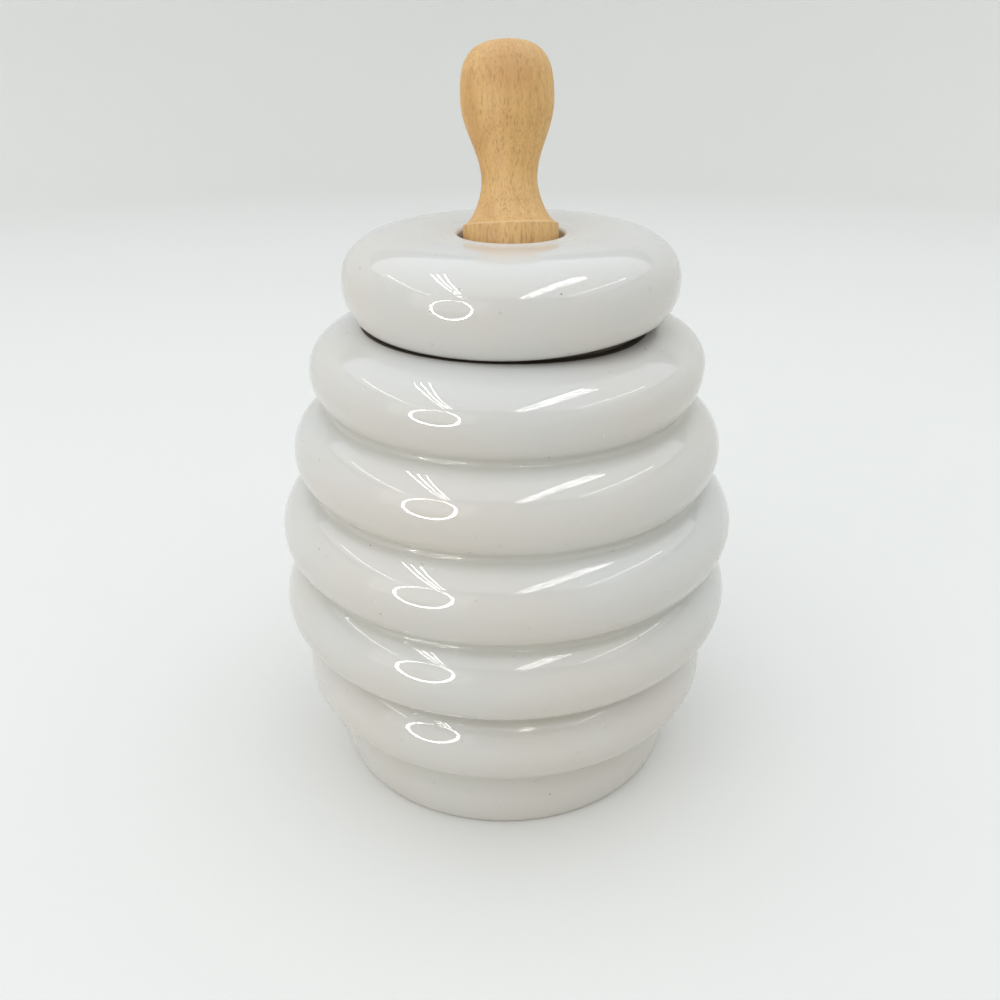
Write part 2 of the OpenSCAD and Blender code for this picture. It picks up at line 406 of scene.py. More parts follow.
class Shader:
    """Short ways to add and join the nodes of one material."""

    def __init__(self, name: str) -> None:
        """Starts a material with one Principled shader.

        Args:
            name: name of the material.
        """
        self.material = bpy.data.materials.new(name)
        self.material.use_nodes = True
        self.tree = self.material.node_tree
        self.skin = self.tree.nodes["Principled BSDF"]

    def add(self, kind: str, inputs: dict | None = None, **settings: object) -> bpy.types.Node:
        """Adds a node.

        Args:
            kind: type of the node, without its ShaderNode prefix.
            inputs: value or socket for each input, by name or number.
            settings: properties of the node.

        Returns:
            The node.
        """
        node = self.tree.nodes.new("ShaderNode" + kind)
        for key, value in settings.items():
            setattr(node, key, value)
        for key, value in (inputs or {}).items():
            self.give(node, key, value)
        return node

    def give(self, node: bpy.types.Node, key: str | int, value: object) -> None:
        """Links a socket to an input, or sets the input's own value.

        Args:
            node: the node that has the input.
            key: name or number of the input.
            value: a socket, a number, or a tuple of as many numbers as the input holds.
        """
        if isinstance(value, bpy.types.NodeSocket):
            self.tree.links.new(value, node.inputs[key])
        else:
            node.inputs[key].default_value = value

    def maths(self, how: str, a: object, b: object = 0.0, clamp: bool = False) -> object:
        """Result of a Math node on two values or sockets."""
        return self.add("Math", {0: a, 1: b}, operation=how, use_clamp=clamp).outputs[0]

    def ramp(self, value: object, span: Pair, start: float = 0.0, end: float = 1.0) -> object:
        """Carries a value smoothly from one span to another.

        Args:
            value: the value.
            span: its least and greatest value.
            start: result at the least.
            end: result at the greatest.

        Returns:
            The result's socket.
        """
        return self.add(
            "MapRange",
            {0: value, 1: span[0], 2: span[1], 3: start, 4: end},
            interpolation_type="SMOOTHSTEP",
        ).outputs[0]

    def noise(self, where: object, scale: float, detail: float, rough: float = 0.5) -> object:
        """Noise from 0 to 1 at a place.

        Args:
            where: the place.
            scale: waves in a metre.
            detail: number of finer waves in it.
            rough: strength of the finer waves.

        Returns:
            The noise's socket.
        """
        return self.add(
            "TexNoise", {"Vector": where, "Scale": scale, "Detail": detail, "Roughness": rough}
        ).outputs["Fac"]

    def cloud(self, where: object, cloud: Cloud, start: float = 0.0, end: float = 1.0) -> object:
        """Cloudy pattern at a place, from start to end."""
        noise = self.noise(where, cloud.scale, cloud.detail, cloud.rough)
        return self.ramp(noise, (cloud.low, cloud.high), start, end)

    def stretch(self, where: object, scale: Sizes, shift: Sizes = (0.0, 0.0, 0.0)) -> object:
        """Place scaled and shifted along each axis.

        Args:
            where: the place.
            scale: factor along each axis.
            shift: shift along each axis, after the factor.

        Returns:
            The new place's socket.
        """
        return self.add(
            "Mapping", {"Vector": where, "Scale": scale, "Location": shift}, vector_type="POINT"
        ).outputs[0]

    def spots(self, where: object, spots: Spots) -> object:
        """1 inside small balls on the points of a cell pattern, and 0 outside.

        Args:
            where: place, in metres.
            spots: cells and size of the balls.

        Returns:
            The mask's socket.
        """
        cell = self.stretch(where, spots.cells, spots.shift)
        cells = self.add("TexVoronoi", {"Vector": cell, "Scale": 1.0})
        span = (spots.radius, spots.radius * spots.edge)
        return self.ramp(cells.outputs["Distance"], span, 1.0, 0.0)

    def blend(self, amount: object, a: object, b: object) -> object:
        """Colour a turned into colour b by an amount.

        Args:
            amount: 0 for colour a, 1 for colour b.
            a: a colour or its socket.
            b: a colour or its socket.

        Returns:
            The colour's socket.
        """
        node = self.add("Mix", data_type="RGBA")
        for key, value in ((0, amount), (6, a), (7, b)):
            self.give(node, key, value if not isinstance(value, tuple) else (*value, 1.0))
        return node.outputs[2]

    def tint(self, tone: object, colour: Colour, mask: object, strength: float) -> object:
        """Tone turned into a colour where a mask is 1, by the strength at most."""
        return self.blend(self.maths("MULTIPLY", mask, strength), tone, colour)

    def value(self, name: str) -> object:
        """Number stored on the piece under a name."""
        return self.add("Attribute", attribute_name=name).outputs["Fac"]

    def vector(self, name: str) -> object:
        """Vector stored on the piece under a name."""
        return self.add("Attribute", attribute_name=name).outputs["Vector"]

    def place(self) -> object:
        """Place on the object, in metres."""
        return self.add("TexCoord").outputs["Object"]

    def bump(self, height: object, depth: float, under: object = None) -> object:
        """Normal bent by a height pattern.

        Args:
            height: pattern from 0 to 1.
            depth: height of the pattern in metres.
            under: normal of a bump below it.

        Returns:
            The normal's socket.
        """
        inputs = {"Height": height, "Distance": depth, "Strength": 1.0}
        if under is not None:
            inputs["Normal"] = under
        return self.add("Bump", inputs).outputs[0]


@dataclass(frozen=True)
class Glaze:
    """Glossy white glaze over a cast body.

    Attributes:
        cool: tone where the glaze lies thick and even.
        warm: tone where it is a little thinner.
        drift: pattern that turns cool into warm.
        pooled_and_shaded: tone of glaze run into a groove, with painted crease shade.
        pool_and_shade_strength: most that a groove turns the tone.
        blush: tone of the faint grey-blue spots.
        haze: pattern of these spots.
        speck: tone of the iron specks.
        specks: pattern of the specks, few and small.
        bisque: bare body on the ring that the pot stands on.
        gap_shade: bare body where rim and lid meet, darkened as painted shade of the gap.
        grit: waves in a metre of the bare body's grain.
        grit_tint: most that the grain turns the bare body's tone.
        grit_depth: height of the grain in metres.
        gloss: roughness of the glaze.
        smear: pattern that dulls it a little.
        smeared: added roughness where it is so dulled.
        matt: added roughness of the bare body.
        rubbed: added roughness where hands and the dipper have dulled the glaze.
        shine: strength of the gloss, as it is and where it is rubbed.
        slow: waves in a metre of the glaze's slow unevenness, and its height in metres.
        peel: the same for its fine unevenness.
        pits: pattern of the pinholes.
        pit_depth: depth of a pinhole in metres.
        index: refractive index.
    """

    cool: Colour = (0.745, 0.750, 0.748)
    warm: Colour = (0.755, 0.735, 0.708)
    drift: Cloud = Cloud(26.0, 3.0, 0.55, 0.36, 0.66)
    pooled_and_shaded: Colour = (0.640, 0.645, 0.600)
    pool_and_shade_strength: float = 0.55
    blush: Colour = (0.560, 0.580, 0.610)
    haze: Spots = Spots((95.0,) * 3, 0.020, 3.2, 0.40, (0.3, 0.8, 0.1))
    speck: Colour = (0.150, 0.095, 0.060)
    specks: Spots = Spots((150.0,) * 3, 0.022, 1.7, 0.60)
    bisque: Colour = (0.640, 0.560, 0.460)
    gap_shade: Colour = (0.095, 0.078, 0.062)
    grit: float = 1400.0
    grit_tint: float = 0.25
    grit_depth: float = 0.00012
    gloss: float = 0.012
    smear: Cloud = Cloud(34.0, 4.0, 0.6, 0.45, 0.75)
    smeared: float = 0.02
    matt: float = 0.8
    rubbed: float = 0.32
    shine: Pair = (0.5, 0.08)
    slow: Pair = (85.0, 0.00006)
    peel: Pair = (420.0, 0.0000035)
    pits: Spots = Spots((210.0,) * 3, 0.030, 2.0, shift=(0.7, 0.2, 0.5))
    pit_depth: float = 0.00012
    index: float = 1.52

    def make(self, name: str) -> bpy.types.Material:
        """Builds the material.

        The tone drifts between cool and warm and turns to the pooled_and_shaded tone by
        the pool_and_shade value, which stands for glaze run into the grooves and for
        painted shade in the creases, and spots and specks lie on it. The bare value brings
        out the body, the gap_shade value darkens it as painted shade where lid and rim
        meet, and the worn value dulls the gloss. Two faint waves, pinholes and the bare
        body's grain bend the surface.

        Args:
            name: name of the material.

        Returns:
            The material.
        """
        s = Shader(name)
        where = s.place()
        pool_and_shade, bare, gap_shade, worn = (s.value(key) for key in ("pool_and_shade", "bare", "gap_shade", "worn"))
        tone = s.blend(s.cloud(where, self.drift), self.cool, self.warm)
        # Grooves darken partly for pooled glaze and partly as painted crease shade.
        tone = s.tint(tone, self.pooled_and_shaded, pool_and_shade, self.pool_and_shade_strength)
        for colour, spots in ((self.blush, self.haze), (self.speck, self.specks)):
            tone = s.tint(tone, colour, s.spots(where, spots), spots.strength)
        grit = s.noise(where, self.grit, 2.0)
        clay = s.tint(self.bisque, self.warm, grit, self.grit_tint)
        # Painted shade: the bare clay where lid and rim meet is made near black.
        tone = s.blend(bare, tone, s.blend(gap_shade, clay, self.gap_shade))
        s.give(s.skin, "Base Color", tone)
        smear = s.cloud(where, self.smear, self.gloss, self.gloss + self.smeared)
        dull = s.maths("MULTIPLY", bare, self.matt)
        dull = s.maths("ADD", dull, s.maths("MULTIPLY", worn, self.rubbed))
        s.give(s.skin, "Roughness", s.maths("ADD", smear, dull, clamp=True))
        s.give(s.skin, "Specular IOR Level", s.ramp(worn, (0.0, 1.0), *self.shine))
        normal = None
        for scale, depth in (self.slow, self.peel):
            normal = s.bump(s.noise(where, scale, 1.0), depth, normal)
        holes = s.maths("SUBTRACT", 1.0, s.spots(where, self.pits))
        normal = s.bump(holes, self.pit_depth, normal)
        normal = s.bump(s.maths("MULTIPLY", grit, bare), self.grit_depth, normal)
        s.give(s.skin, "Normal", normal)
        s.give(s.skin, "IOR", self.index)
        return s.material


@dataclass(frozen=True)
class Beech:
    """Plain turned beech with short dark rays along the grain.

    Attributes:
        light: tone of the wood where it is lightest.
        deep: tone of the late wood and the orange patches.
        patch: pattern of the patches.
        patch_draw: how much the patches are drawn out along the grain.
        patched: most that a patch turns the tone.
        pith: shift in metres that puts the tree's pith outside the blank.
        pith_lean: how much the yearly rings change along the grain.
        ring_pitch: radians in a metre from ring to ring.
        ring_bend: waves in a metre that bend the rings, and by how many radians.
        ring_span: part of the rings' wave, from -1 to 1, that is late wood.
        ringed: most that a ring turns the tone.
        heart: middle of the redder patch in the knob, in the dipper's own frame.
        heart_span: distances from it where the patch is full and where it ends.
        hearted: most that this patch turns the tone.
        pore: tone of the finest lines.
        lines: waves in a metre of the fine lines along each axis.
        line_span: noise that counts as no line and as a full one.
        lined: most that the lines turn the tone, elsewhere and on the collar.
        fleck: tone of the rays.
        rays: pattern of the rays.
        small: pattern of the smaller rays.
        ray_depth: depth of the rays in metres.
        corner_highlight: tone of a highlight painted along the collar's upper corner.
        corner_highlight_strength: most that it turns the tone.
        matt_span: noise at which the wood is smoothest and roughest.
        matt: roughness where it is smoothest and roughest.
        fur: height of the fine lines in metres.
        index: refractive index.
    """

    light: Colour = (0.800, 0.500, 0.195)
    deep: Colour = (0.620, 0.325, 0.110)
    patch: Cloud = Cloud(130.0, 3.0, 0.6, 0.42, 0.68)
    patch_draw: float = 0.45
    patched: float = 0.50
    pith: Sizes = (0.047, 0.031, 0.0)
    pith_lean: float = 0.02
    ring_pitch: float = 2900.0
    ring_bend: Pair = (55.0, 5.0)
    ring_span: Pair = (-0.2, 1.0)
    ringed: float = 0.20
    heart: Sizes = (0.0008, -0.0090, 0.1455)
    heart_span: Pair = (0.001, 0.0090)
    hearted: float = 0.75
    pore: Colour = (0.480, 0.265, 0.100)
    lines: Sizes = (2300.0, 2300.0, 210.0)
    line_span: Pair = (0.50, 0.72)
    lined: Pair = (0.34, 0.80)
    fleck: Colour = (0.430, 0.215, 0.065)
    rays: Spots = Spots((1900.0, 1900.0, 340.0), 0.130, 2.6, 0.42)
    small: Spots = Spots((3100.0, 3100.0, 900.0), 0.190, 2.4, 0.30, (3.1, 1.7, 0.4))
    ray_depth: float = 0.00006
    corner_highlight: Colour = (0.850, 0.600, 0.320)
    corner_highlight_strength: float = 0.75
    matt_span: Pair = (0.3, 0.8)
    matt: Pair = (0.50, 0.68)
    fur: float = 0.00005
    index: float = 1.45

    def make(self, name: str) -> bpy.types.Material:
        """Builds the material.

        Every pattern lies in the dipper's own frame, with the grain along its axis.
        Yearly rings are sine waves of the distance to a pith outside the blank. Rays
        and pores are patterns drawn out along the axis. The band value makes the lines
        stronger on the collar, and the edge value paints a highlight along its corner.

        Args:
            name: name of the material.

        Returns:
            The material.
        """
        s = Shader(name)
        where = s.vector("grain")
        band, edge = s.value("band"), s.value("edge")
        patch = s.cloud(s.stretch(where, (1.0, 1.0, self.patch_draw)), self.patch)
        tone = s.tint(self.light, self.deep, patch, self.patched)
        to_heart = s.add("VectorMath", {0: where, 1: self.heart}, operation="DISTANCE")
        heart = s.ramp(to_heart.outputs["Value"], self.heart_span, self.hearted, 0.0)
        tone = s.blend(heart, tone, self.deep)
        pith = s.stretch(where, (1.0, 1.0, self.pith_lean), self.pith)
        away = s.add("VectorMath", {0: pith}, operation="LENGTH").outputs["Value"]
        scale, turn = self.ring_bend
        bend = s.maths("MULTIPLY", s.noise(where, scale, 2.0), turn)
        phase = s.maths("ADD", s.maths("MULTIPLY", away, self.ring_pitch), bend)
        rings = s.ramp(s.maths("SINE", phase), self.ring_span)
        tone = s.tint(tone, self.deep, rings, self.ringed)
        fine = s.noise(s.stretch(where, self.lines), 1.0, 2.0, 0.6)
        lines = s.ramp(fine, self.line_span)
        more = s.ramp(band, (0.0, 1.0), *self.lined)
        tone = s.blend(s.maths("MULTIPLY", lines, more), tone, self.pore)
        rays, small = s.spots(where, self.rays), s.spots(where, self.small)
        tone = s.tint(tone, self.fleck, rays, self.rays.strength)
        tone = s.tint(tone, self.fleck, small, self.small.strength)
        # Painted highlight along the collar's upper corner.
        tone = s.tint(tone, self.corner_highlight, edge, self.corner_highlight_strength)
        s.give(s.skin, "Base Color", tone)
        s.give(s.skin, "Roughness", s.ramp(fine, self.matt_span, *self.matt))
        grooved = s.bump(s.maths("SUBTRACT", 1.0, rays), self.ray_depth)
        s.give(s.skin, "Normal", s.bump(fine, self.fur, grooved))
        s.give(s.skin, "IOR", self.index)
        return s.material


# Pieces of the pot


@dataclass(frozen=True)
class Pot:
    """Cast pot of five stacked coils over a plain foot, in millimetres and degrees.

    Attributes:
        coil_radii: outer radius of each coil, from the bottom.
        coil_heights: height of the middle of each coil.
        section: radius of a coil's section.
        fillet: radius of the glaze in the bottom of the grooves.
        wall: thickness of the wall.
        foot: radius of the foot.
        foot_draw: how much narrower the foot is where it stands.
        foot_draw_h: height over which it narrows.
        foot_ring: width of the ring that it stands on.
        foot_hollow: depth of the recess inside the ring.
        foot_edge: size of the recess's broken edges.
        foot_flat: how far inside the foot's edge the flat of the ring ends.
        floor_round: radius between floor and wall, inside.
        crest: radius of the rim's crest.
        mouth: radius of the mouth.
        mouth_round: radius of the rounds at the mouth.
        rim_flat: how far inside the crest, and outside the mouth's round, the flat of
            the rim has its ends.
        top: height of the rim.
        rim_sag: most that the rim sinks.
        rim_side: direction in which it sinks, about Z from X.
        bulge: most that the shoulder swells.
        bulge_side: direction in which it swells, about Z from X.
        bulge_slant: share of the swelling that goes outwards, and as much goes upwards.
        skew_at: heights at which a shift along X is given.
        skew: shift at each of these heights.
        pool_and_shade_reach: how far from a groove pooled glaze and painted shade reach.
        bare_h: how far over the floor, and under the rim's top, the clay is bare.
        bare_in: how far inside the ring it is bare.
        bare_out: how far outside the crest it is bare.
        gap_shade_w: how far inside the crest the bare rim is darkened as painted shade.
        fade: height over which the wobble fades towards foot and rim.
        wobble: unevenness of the side.
        coil_n: points on each coil, outside and inside.
        round_n: points on each groove and each round of the rim.
        draw_n: points on the foot's side.
        floor_n: points on the round of the floor.
        steps: points in a full turn.
        glaze: finish.
    """

    coil_radii: Sizes = (46.5, 50.29, 50.0, 46.2, 41.6)
    coil_heights: Sizes = (23.4, 41.7, 59.0, 76.3, 93.6)
    section: float = 9.2352
    fillet: float = 0.9
    wall: float = 4.5
    foot: float = 39.8
    foot_draw: float = 2.2
    foot_draw_h: float = 8.0
    foot_ring: float = 4.5
    foot_hollow: float = 2.0
    foot_edge: float = 0.1
    foot_flat: float = 0.9
    floor_round: float = 6.0
    crest: float = 29.4
    mouth: float = 26.0
    mouth_round: float = 1.2
    rim_flat: Pair = (0.8, 0.4)
    top: float = 102.6
    rim_sag: float = 0.75
    rim_side: float = -35.0
    bulge: float = 0.85
    bulge_side: float = -4.0
    bulge_slant: float = 0.7
    skew_at: Sizes = (8.0, 41.7, 59.0, 76.3, 93.6, 102.6)
    skew: Sizes = (-0.45, -0.05, 0.2, 0.3, 0.3, 0.0)
    pool_and_shade_reach: float = 1.5
    bare_h: float = 0.25
    bare_in: float = 1.0
    bare_out: float = 0.9
    gap_shade_w: float = 1.0
    fade: float = 8.0
    wobble: Wobble = Wobble(0.15)
    coil_n: tuple[int, int] = (34, 14)
    round_n: int = 8
    draw_n: int = 26
    floor_n: int = 12
    steps: int = 192
    glaze: Glaze = Glaze()

    def coil_centre(self, i: int) -> np.ndarray:
        """Centre of coil i's section."""
        return np.array((self.coil_radii[i] - self.section, self.coil_heights[i]))

    def groove_centre(self, i: int) -> np.ndarray:
        """Centre of the round in the groove above coil i, or above the foot for -1.

        It lies outside, section + fillet from both coils' centres. Over the foot it is
        a fillet outside the straight side and as far from the lowest coil.

        Args:
            i: number of the coil under the groove.

        Returns:
            Radius and height.
        """
        reach = self.section + self.fillet
        if i < 0:
            c = self.coil_centre(0)
            x = self.foot + self.fillet
            return np.array((x, c[1] - math.sqrt(reach**2 - (x - c[0]) ** 2)))
        a, b = self.coil_centre(i), self.coil_centre(i + 1)
        d = np.linalg.norm(b - a)
        out = math.sqrt(reach**2 - (d / 2) ** 2)
        return (a + b) / 2 + out * np.array((b[1] - a[1], a[0] - b[0])) / d

    def side(self, inset: float, coil_n: int) -> tuple[np.ndarray, np.ndarray]:
        """Side of the pot from the foot to the crest, a depth inside its outer face.

        Args:
            inset: depth, 0 for the outside and the wall for the inside.
            coil_n: points on each coil.

        Returns:
            The profile's rows, and True for each row in a groove.
        """
        last = len(self.coil_radii) - 1
        runs, marks = [], []
        low = self.groove_centre(-1)
        begin = bearing(low, self.coil_centre(0))
        runs.append(arc(low, self.fillet + inset, 180.0, begin, self.round_n))
        marks.append(True)
        for i in range(last + 1):
            c, under = self.coil_centre(i), self.groove_centre(i - 1)
            end = 0.0 if i == last else bearing(c, self.groove_centre(i))
            runs.append(arc(c, self.section - inset, bearing(c, under), end, coil_n)[1:])
            marks.append(False)
            if i < last:
                g = self.groove_centre(i)
                turn = bearing(g, self.coil_centre(i + 1))
                start = 360.0 + bearing(g, c)
                runs.append(arc(g, self.fillet + inset, start, turn, self.round_n)[1:])
                marks.append(True)
        shoulder_w = self.coil_radii[last] - self.crest
        shoulder_h = self.top - self.coil_heights[last]
        centre = (self.crest, self.coil_heights[last])
        runs.append(swell(centre, shoulder_w - inset, shoulder_h - inset, 2.0, coil_n)[1:])
        marks.append(False)
        flags = [np.full(len(r), m) for r, m in zip(runs, marks)]
        return np.vstack(runs), np.concatenate(flags)

    def sag(self, points: np.ndarray) -> np.ndarray:
        """Lets the shape give way a little, as it did in the mould and the kiln.

        With s the share of the shoulder's height, a point sinks by rim_sag times
        cos(a - rim_side)^4 s (2 - s). Outside the crest it also swells outwards and
        upwards, each by bulge_slant bulge cos(a - bulge_side)^2 4 s (1 - s). Either acts
        on its own half of the turn alone. Each level is shifted along X by the skew
        between its two nearest marks.

        Args:
            points: rows of (x, y, z) in millimetres.

        Returns:
            The moved points.
        """
        low = self.coil_heights[-1]
        share = np.clip((points[:, 2] - low) / (self.top - low), 0.0, 1.0)
        a = np.arctan2(points[:, 1], points[:, 0])
        outside = np.hypot(points[:, 0], points[:, 1]) > self.crest
        side = np.cos(a - math.radians(self.rim_side)).clip(0) ** 4
        moved = points.copy()
        moved[:, 2] -= self.rim_sag * side * share * (2 - share)
        swelling = self.bulge * np.cos(a - math.radians(self.bulge_side)).clip(0) ** 2
        swelling *= 4 * share * (1 - share) * outside * self.bulge_slant
        moved += swelling[:, None] * np.column_stack((np.cos(a), np.sin(a), np.ones(len(a))))
        moved[:, 0] += np.interp(points[:, 2], self.skew_at, self.skew)
        return moved

    def base(self) -> np.ndarray:
        """Recess and ring under the foot, then the foot's side up to the lowest groove.

        Returns:
            Rows of (radius, height), from the axis.
        """
        stand = self.foot - self.foot_draw
        ring_in, deep, e = stand - self.foot_ring, self.foot_hollow, self.foot_edge
        low = (
            (0.0, deep),
            (ring_in - deep - 3 * e, deep),
            (ring_in - deep, deep - e),
            (ring_in - 2 * e, e),
            (ring_in, 0.0),
            (stand - self.foot_flat, 0.0),
        )
        centre = (stand, self.foot_draw_h)
        draw = swell(centre, self.foot_draw, -self.foot_draw_h, 2.0, self.draw_n)[::-1]
        return np.vstack((low, draw))

    def lip(self) -> np.ndarray:
        """Flat of the rim and the rounds at the mouth.

        Returns:
            Rows of (radius, height), from the crest inwards and down.
        """
        e, middle = self.mouth_round, self.mouth + self.mouth_round
        near, far = self.rim_flat
        under = self.top - self.wall
        return np.vstack(
            (
                ((self.crest - near, self.top), (middle + far, self.top)),
                arc((middle, self.top - e), e, 90.0, 180.0, self.round_n),
                arc((middle, under + e), e, 180.0, 270.0, self.round_n),
            )
        )

    def turned(self) -> tuple[Turned, dict[str, np.ndarray]]:
        """Whole profile, from under the base round the side and rim to the floor inside.

        Returns:
            The turned surface, and the values of each row by name: how near it is to a
            groove, for pooled glaze and painted crease shade, 1 where the clay is bare, and 1
            where it is also darkened as painted shade under the lid's edge.
        """
        outer_n, inner_n = self.coil_n
        base, (outer, grooves) = self.base(), self.side(0.0, outer_n)
        inner, _ = self.side(self.wall, inner_n)
        corner = self.foot - self.wall - self.floor_round
        floor_z = self.foot_hollow + self.wall
        centre = (corner, floor_z + self.floor_round)
        floor = arc(centre, self.floor_round, 0.0, -90.0, self.floor_n)
        middle = ((0.0, floor_z),)
        profile = np.vstack((base, outer, self.lip(), inner[::-1], floor, middle))
        side = slice(len(base), len(base) + len(outer))
        marked = np.zeros(len(profile), bool)
        marked[side] = grooves
        r, z = profile.T
        ring_in = self.foot - self.foot_draw - self.foot_ring
        stand_ring = (z < self.bare_h) & (r > ring_in - self.bare_in)
        seat = (z > self.top - self.bare_h) & (r < self.crest + self.bare_out)
        free = np.zeros(len(profile))
        free[side] = 1.0
        free *= np.clip((z - self.foot_draw_h) / self.fade, 0.0, 1.0)
        free *= np.clip((self.coil_heights[-1] - z) / self.fade, 0.0, 1.0)
        values = {
            # Groove value for pooled glaze and painted crease shade.
            "pool_and_shade": nearness(profile, marked, self.pool_and_shade_reach),
            "bare": (stand_ring | seat) * 1.0,
            # Painted shade on the rim where the lid's lower edge sits over it.
            "gap_shade": (seat & (r > self.crest - self.gap_shade_w)) * 1.0,
        }
        return Turned(profile, self.steps, False, self.wobble, free), values

    def build(self) -> bpy.types.Object:
        """Makes the pot, rides it on its body and hides the plain one.

        Returns:
            The piece.
        """
        turned, values = self.turned()
        piece = turned.piece("pot_glazed_body", self.sag(turned.points()), values)
        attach(piece, Body.POT.value)
        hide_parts("pot")
        return piece

    def dress(self, piece: bpy.types.Object) -> None:
        """Gives the pot its glaze."""
        piece.data.materials.append(self.glaze.make("pot_white_glaze"))


@dataclass(frozen=True)
class Lid:
    """Cast ring lid, hollow underneath, in millimetres and degrees.

    Attributes:
        shift: how far the lid lies off the pot's axis, along X.
        radius: radius of the widest part.
        low_w: width of the curve under the widest part.
        low_h: height of this curve.
        low_power: its fullness.
        top_w: width of the curve over the widest part.
        top_h: height of this curve.
        top_power: its fullness.
        wall: thickness of the wall.
        dip: how much lower the top is at the hole than at its crest.
        edge_z: height of the lower edge.
        seat_z: height of the seat that rests on the rim.
        seat_out: outer radius of the seat.
        seat_edge: size of the broken edges at the seat's inside and outside.
        flange_h: depth of the flange under the seat.
        flange_r: outer radius of the flange.
        flange_in: inner radius of the flange.
        hole: radius of the hole.
        hole_round: radius of the rounds at the hole.
        edge_lift: most that the lower edge rises.
        lift_side: direction in which it rises, about Z from X.
        pool_and_shade_reach: how far from the seat pooled glaze and painted shade reach.
        bare_in: how far inside the flange's face the bare clay reaches.
        bare_out: how far outside the seat it reaches.
        bare_up: how far over the lower edge it reaches.
        gap_shade_w: width of the seat darkened as painted shade of the gap over the rim.
        worn_reach: how far from the hole the glaze is worn.
        fade: width over which the wobble fades towards the hole.
        wobble: unevenness of the outside.
        low_n: points on the curve under the widest part.
        top_n: points on the curve over it.
        way_n: points from the crest to the hole.
        hole_n: points on each round at the hole.
        inner_n: points on each curve of the hollow.
        round_n: points on each round of the flange.
        near: distance within which two measures count as equal.
        steps: points in a full turn.
        glaze: finish.
    """

    shift: float = 1.3
    radius: float = 34.795
    low_w: float = 5.0
    low_h: float = 8.7
    low_power: float = 1.8
    top_w: float = 12.1
    top_h: float = 9.4
    top_power: float = 2.2
    wall: float = 5.0
    dip: float = 0.5
    edge_z: float = 102.9
    seat_z: float = 102.7
    seat_out: float = 28.2
    seat_edge: Pair = (0.25, 0.1)
    flange_h: float = 5.0
    flange_r: float = 23.93
    flange_in: float = 20.33
    hole: float = 10.823
    hole_round: float = 0.8
    edge_lift: float = 1.1
    lift_side: float = -33.0
    pool_and_shade_reach: float = 1.2
    bare_in: float = 0.3
    bare_out: float = 2.6
    bare_up: float = 0.3
    gap_shade_w: float = 0.15
    worn_reach: float = 6.0
    fade: float = 6.0
    wobble: Wobble = Wobble(0.16, (1, 2, 4), 60.0)
    low_n: int = 30
    top_n: int = 44
    way_n: int = 20
    hole_n: int = 9
    inner_n: int = 18
    round_n: int = 8
    near: float = 0.05
    steps: int = 224
    glaze: Glaze = Glaze()

    @property
    def wide_z(self) -> float:
        """Height of the widest part."""
        return self.edge_z + self.low_h

    def lift(self, points: np.ndarray) -> np.ndarray:
        """Lets the lower edge rise a little on one side, as it did in the kiln.

        Under the widest part a point of the outside rises by edge_lift cos(a -
        lift_side)^4 times the square of its share of the way down to the edge.

        Args:
            points: rows of (x, y, z) in millimetres, about the lid's own axis.

        Returns:
            The raised points.
        """
        x, y, z = points.T
        share = np.clip((self.wide_z - z) / self.low_h, 0.0, 1.0) ** 2
        share *= (np.hypot(x, y) > self.seat_out - self.near) & (z > self.edge_z - self.near)
        side = np.arctan2(y, x) - math.radians(self.lift_side)
        raised = points.copy()
        raised[:, 2] += self.edge_lift * np.cos(side).clip(0) ** 4 * share
        return raised

    def outer(self) -> np.ndarray:
        """Outside, from the lower edge over the top to the hole.

        The top sinks from its crest to the hole by dip (1 - cos(180 t)) / 2, with t the
        share of the way.

        Returns:
            Rows of (radius, height).
        """
        e, top_z = self.hole_round, self.wide_z + self.top_h
        hole, crest = self.hole + e, self.radius - self.top_w
        low = ((self.radius - self.low_w, self.wide_z), self.low_w, -self.low_h)
        top = ((crest, self.wide_z), self.top_w, self.top_h)
        way = np.linspace(0.0, 1.0, self.way_n + 2)[1:-1]
        sunk = top_z - self.dip * (1 - np.cos(math.pi * way)) / 2
        return np.vstack(
            (
                swell(*low, self.low_power, self.low_n)[::-1],
                swell(*top, self.top_power, self.top_n)[1:],
                np.column_stack((crest + (hole - crest) * way, sunk)),
                arc((hole, top_z - self.dip - e), e, 90.0, 180.0, self.hole_n),
            )
        )

    def inner(self) -> np.ndarray:
        """Hollow, from the hole under the top to the flange.

        Returns:
            Rows of (radius, height).
        """
        h, top_z = self.hole_round, self.wide_z + self.top_h
        e = (self.flange_r - self.flange_in) / 4
        flange_low = self.seat_z - self.flange_h
        top = ((self.radius - self.top_w, self.wide_z), self.top_w - self.wall)
        reach = self.radius - self.wall - self.flange_in
        low = ((self.flange_in, self.wide_z), reach, self.seat_z - self.wide_z)
        return np.vstack(
            (
                arc((self.hole + h, top_z - self.wall + h), h, 180.0, 270.0, self.hole_n),
                swell(*top, self.top_h - self.wall, self.top_power, self.inner_n)[::-1],
                swell(*low, 2.0, self.inner_n)[1:],
                arc((self.flange_in + e, flange_low + e), e, 180.0, 270.0, self.round_n),
                arc((self.flange_r - e, flange_low + e), e, 270.0, 360.0, self.round_n),
            )
        )

